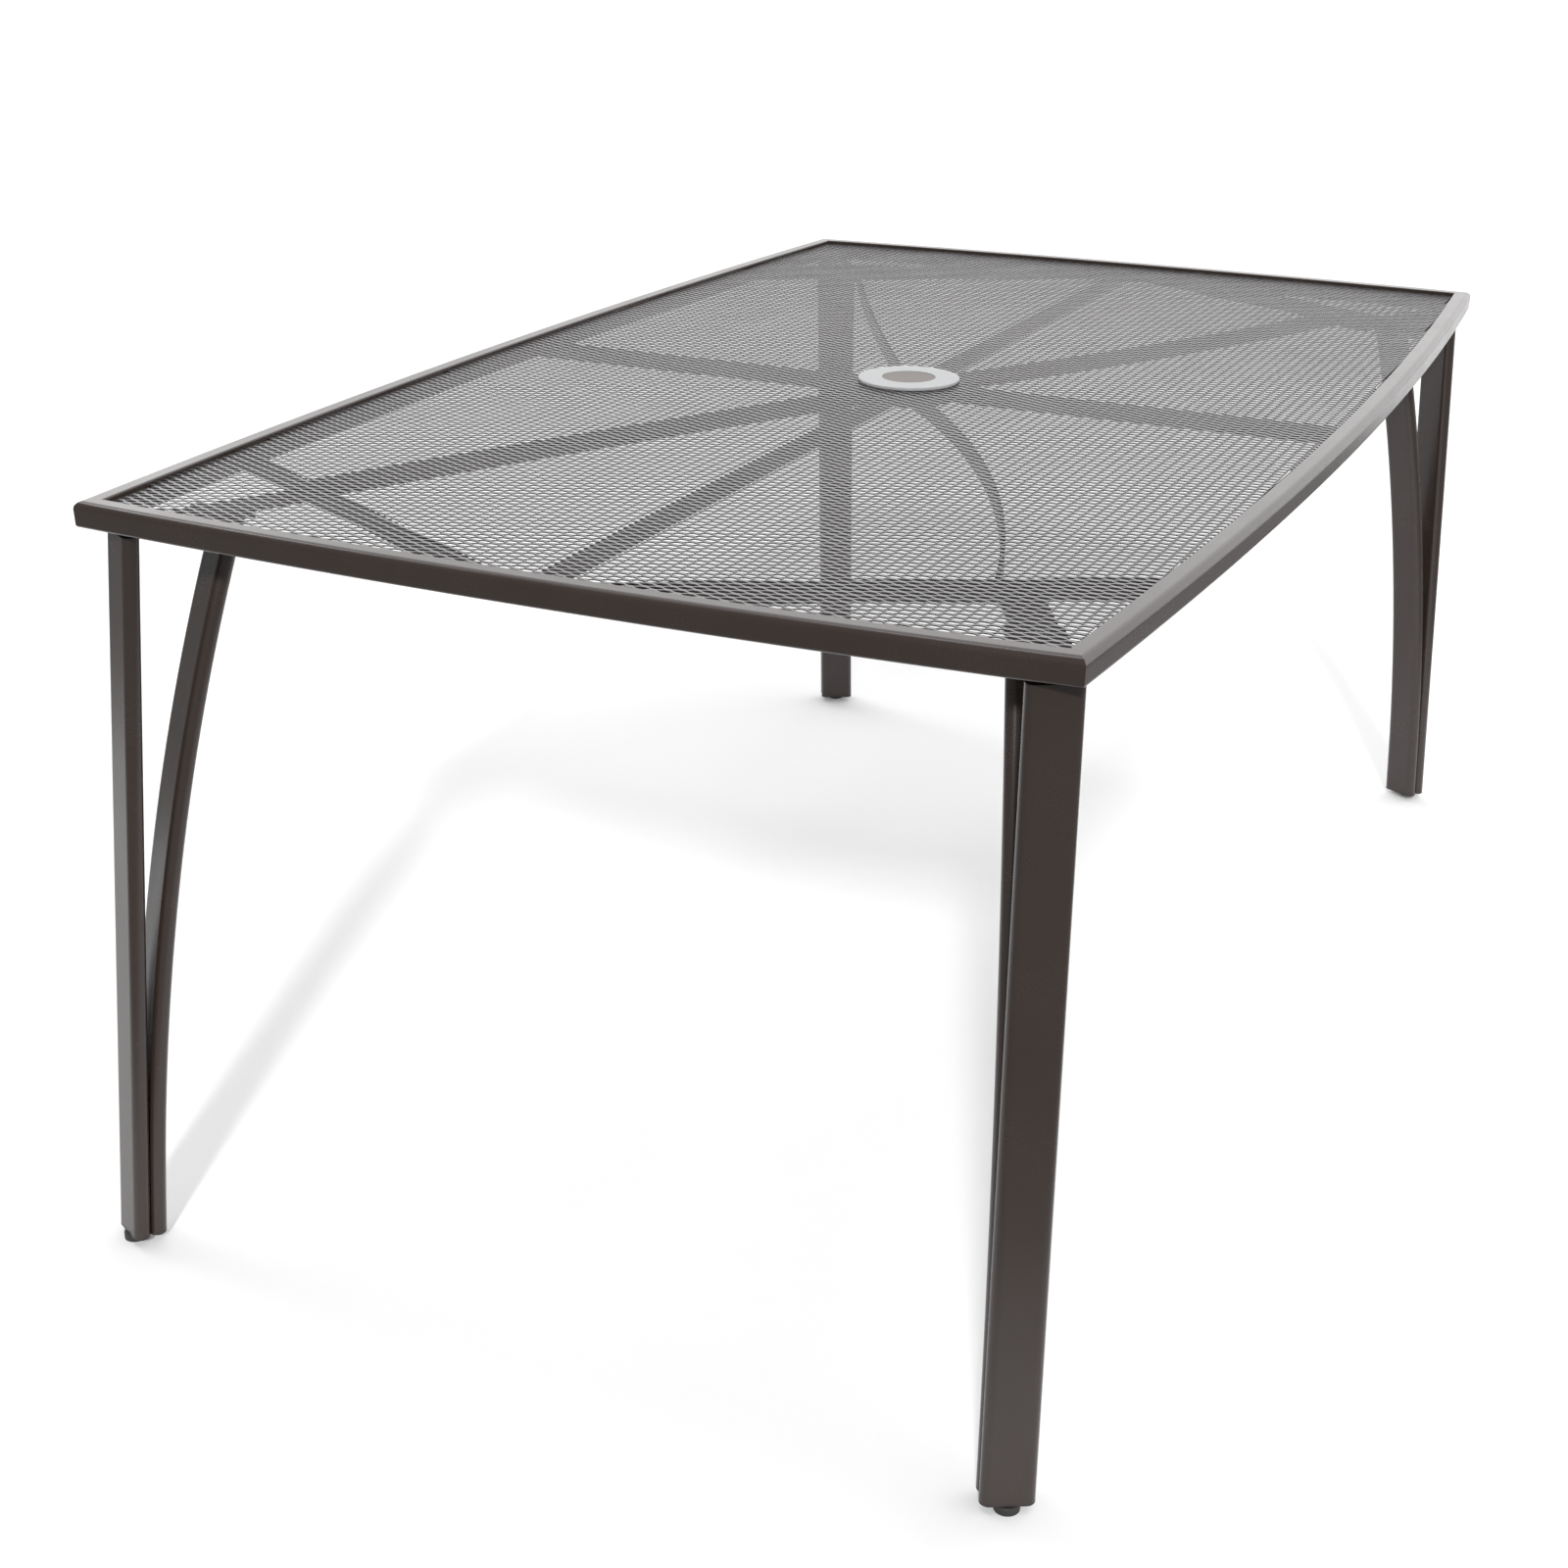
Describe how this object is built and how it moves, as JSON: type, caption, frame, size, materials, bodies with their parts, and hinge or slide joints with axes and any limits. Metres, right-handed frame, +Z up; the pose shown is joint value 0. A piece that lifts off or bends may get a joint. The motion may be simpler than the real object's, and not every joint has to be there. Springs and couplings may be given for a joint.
{
  "type": "metal garden table",
  "caption": "Rectangular metal garden table with bowed sides, an expanded mesh top, an umbrella hole with plug, and legs made of a straight tube and a curved brace.",
  "frame": {"origin": "on the floor under the centre of the top, with the feet screwed in", "axes": "+X along the top's long side, +Y across it, +Z up"},
  "size_m": [1.6804, 0.9796, 0.72],
  "materials": {
    "frame_coating": "satin",
    "mesh_coating": "satin",
    "ring_plastic": "satin",
    "plug_plastic": "satin",
    "foot_plastic": "matte",
    "zinc_steel": "satin"
  },
  "bodies": {
    "table": {"rail_short_far": "frame_coating", "rail_short_near": "frame_coating", "rail_long_left": "frame_coating", "rail_long_right": "frame_coating", "mesh_panel": "mesh_coating", "umbrella_hub": "frame_coating", "umbrella_ring": "ring_plastic", "middle_bar_far": "frame_coating", "middle_bar_near": "frame_coating", "middle_bar_left": "frame_coating", "middle_bar_right": "frame_coating", "diagonal_bar_near_left": "frame_coating", "crossbar_near_left": "frame_coating", "corner_gusset_near_left": "frame_coating", "leg_head_plate_near_left": "frame_coating", "leg_tube_near_left": "frame_coating", "leg_brace_near_left": "frame_coating", "tube_end_plug_near_left": "foot_plastic", "brace_end_plug_near_left": "foot_plastic", "diagonal_bar_near_right": "frame_coating", "crossbar_near_right": "frame_coating", "corner_gusset_near_right": "frame_coating", "leg_head_plate_near_right": "frame_coating", "leg_tube_near_right": "frame_coating", "leg_brace_near_right": "frame_coating", "tube_end_plug_near_right": "foot_plastic", "brace_end_plug_near_right": "foot_plastic", "diagonal_bar_far_right": "frame_coating", "crossbar_far_right": "frame_coating", "corner_gusset_far_right": "frame_coating", "leg_head_plate_far_right": "frame_coating", "leg_tube_far_right": "frame_coating", "leg_brace_far_right": "frame_coating", "tube_end_plug_far_right": "foot_plastic", "brace_end_plug_far_right": "foot_plastic", "diagonal_bar_far_left": "frame_coating", "crossbar_far_left": "frame_coating", "corner_gusset_far_left": "frame_coating", "leg_head_plate_far_left": "frame_coating", "leg_tube_far_left": "frame_coating", "leg_brace_far_left": "frame_coating", "tube_end_plug_far_left": "foot_plastic", "brace_end_plug_far_left": "foot_plastic", "leg_bolts": "zinc_steel", "leg_bolt_washers": "zinc_steel", "weld_nuts": "zinc_steel", "foot_insert_nuts": "zinc_steel"},
    "plug": {"hole_plug": "plug_plastic"},
    "foot_near_left": {"levelling_foot_near_left": "foot_plastic"},
    "foot_near_right": {"levelling_foot_near_right": "foot_plastic"},
    "foot_far_right": {"levelling_foot_far_right": "foot_plastic"},
    "foot_far_left": {"levelling_foot_far_left": "foot_plastic"}
  },
  "joints": [
    {"name": "plug_lift", "type": "slide", "parent": "table", "child": "plug", "axis": [0, 0, 1], "range_m": [0, 0.04]},
    {"name": "foot_screw_near_left", "type": "slide", "parent": "table", "child": "foot_near_left", "axis": [0, 0, -1], "range_m": [0, 0.01]},
    {"name": "foot_screw_near_right", "type": "slide", "parent": "table", "child": "foot_near_right", "axis": [0, 0, -1], "range_m": [0, 0.01]},
    {"name": "foot_screw_far_right", "type": "slide", "parent": "table", "child": "foot_far_right", "axis": [0, 0, -1], "range_m": [0, 0.01]},
    {"name": "foot_screw_far_left", "type": "slide", "parent": "table", "child": "foot_far_left", "axis": [0, 0, -1], "range_m": [0, 0.01]}
  ]
}
